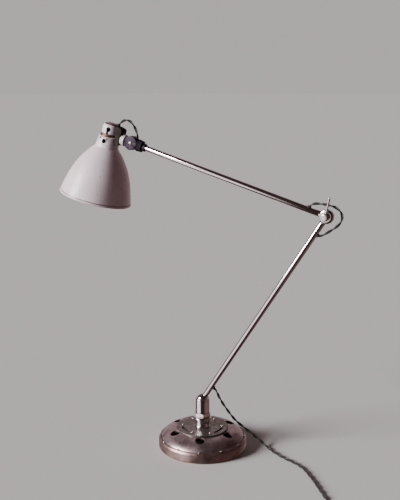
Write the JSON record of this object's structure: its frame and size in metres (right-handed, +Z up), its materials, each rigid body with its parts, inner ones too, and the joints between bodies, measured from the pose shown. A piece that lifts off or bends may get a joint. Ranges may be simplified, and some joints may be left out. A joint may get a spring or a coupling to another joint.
{
  "type": "desk lamp",
  "caption": "Desk lamp with two straight tube arms, a bell shade on a tilting knuckle, an elbow clamp lever and a round weighted base with a ball joint.",
  "frame": {"origin": "centre of the base's underside", "axes": "+Z up, arms in the XZ plane with the elbow towards +X and the shade towards -X, arm hinges along Y"},
  "size_m": [0.8342, 0.342, 0.7359],
  "materials": {
    "cast_iron": "dark gun-metal patina with a faint lilac sheen, semi-gloss",
    "iron": "rough, unpainted",
    "cork": "soft brown cork underlay",
    "steel": "bare steel",
    "chrome": "polished plating with fine wear",
    "bronze": "dull bronze",
    "gunmetal": "dark plated steel, knurled on the collar",
    "enamel": "glossy pale enamel with small chips",
    "black_plastic": "satin black",
    "flex": "braided black twisted pair",
    "glass": "frosted"
  },
  "bodies": {
    "base": {"base_skirt": "cast_iron", "base_dome": "cast_iron", "base_weight": "iron", "base_pad": "cork", "top_plate": "cast_iron", "plate_screw_1": "steel", "plate_screw_2": "steel", "plate_screw_3": "steel", "plate_screw_4": "steel", "plate_screw_5": "steel", "plate_screw_6": "steel", "post_foot": "chrome", "lock_nut": "chrome", "pivot_spindle": "steel"},
    "turret": {"socket_barrel": "chrome", "socket_cap": "chrome", "friction_cup": "bronze", "cup_spring": "steel", "tail_cord": "flex", "cord_coil": "flex", "plug_body": "black_plastic", "plug_pin_1": "steel", "plug_pin_2": "steel"},
    "lower_arm": {"ball": "chrome", "lower_tube": "chrome", "tail_grommet": "black_plastic", "elbow_grommet_lower": "black_plastic", "lower_arm_cord": "flex", "lower_eye": "chrome", "friction_disc": "bronze", "elbow_bolt": "steel", "back_washer": "steel"},
    "lever": {"lever_hub": "chrome", "lever_rod": "chrome"},
    "upper_arm": {"upper_eye": "chrome", "front_washer": "steel", "upper_tube": "chrome", "elbow_grommet_upper": "black_plastic", "upper_arm_cord": "flex", "stop_collar": "gunmetal", "stop_screw": "steel", "elbow_cord": "flex"},
    "knuckle": {"knurled_collar": "gunmetal", "knuckle_fork": "gunmetal", "cord_sleeve": "black_plastic", "tilt_screw": "steel", "head_cord": "flex"},
    "shade": {"shade_tongue": "gunmetal", "neck_ferrule": "enamel", "neck_bracket": "gunmetal", "shade_shell": "enamel", "shade_cap": "enamel", "cap_screw_1": "steel", "cap_screw_2": "steel", "cord_gland": "black_plastic", "lampholder": "black_plastic", "holder_gallery": "bronze", "lamp_cap": "chrome", "lamp_glass": "glass"}
  },
  "joints": [
    {"name": "base_swivel", "type": "hinge", "parent": "base", "child": "turret", "pos_m": [0, 0, 0.0819], "axis": [0, 0, 1], "range_deg": [-170, 170]},
    {"name": "base_tilt", "type": "hinge", "parent": "turret", "child": "lower_arm", "pos_m": [0, 0, 0.1117], "axis": [0, 1, 0], "range_deg": [-40, 16], "deforming": ["tail_cord"]},
    {"name": "elbow", "type": "hinge", "parent": "lower_arm", "child": "upper_arm", "pos_m": [0.27596, 0, 0.55161], "axis": [0, 1, 0], "range_deg": [-23, 90], "deforming": ["elbow_cord"]},
    {"name": "lever_turn", "type": "hinge", "parent": "lower_arm", "child": "lever", "pos_m": [0.27596, 0, 0.55161], "axis": [0, 1, 0], "range_deg": [-90, 60]},
    {"name": "head_swivel", "type": "hinge", "parent": "upper_arm", "child": "knuckle", "pos_m": [-0.17214, 0, 0.68349], "axis": [-0.9593, 0, 0.2823], "range_deg": [-60, 60]},
    {"name": "shade_tilt", "type": "hinge", "parent": "knuckle", "child": "shade", "pos_m": [-0.17214, 0, 0.68349], "axis": [-0.0153, 0.9985, -0.0519], "range_deg": [-60, 75], "deforming": ["head_cord"]}
  ]
}
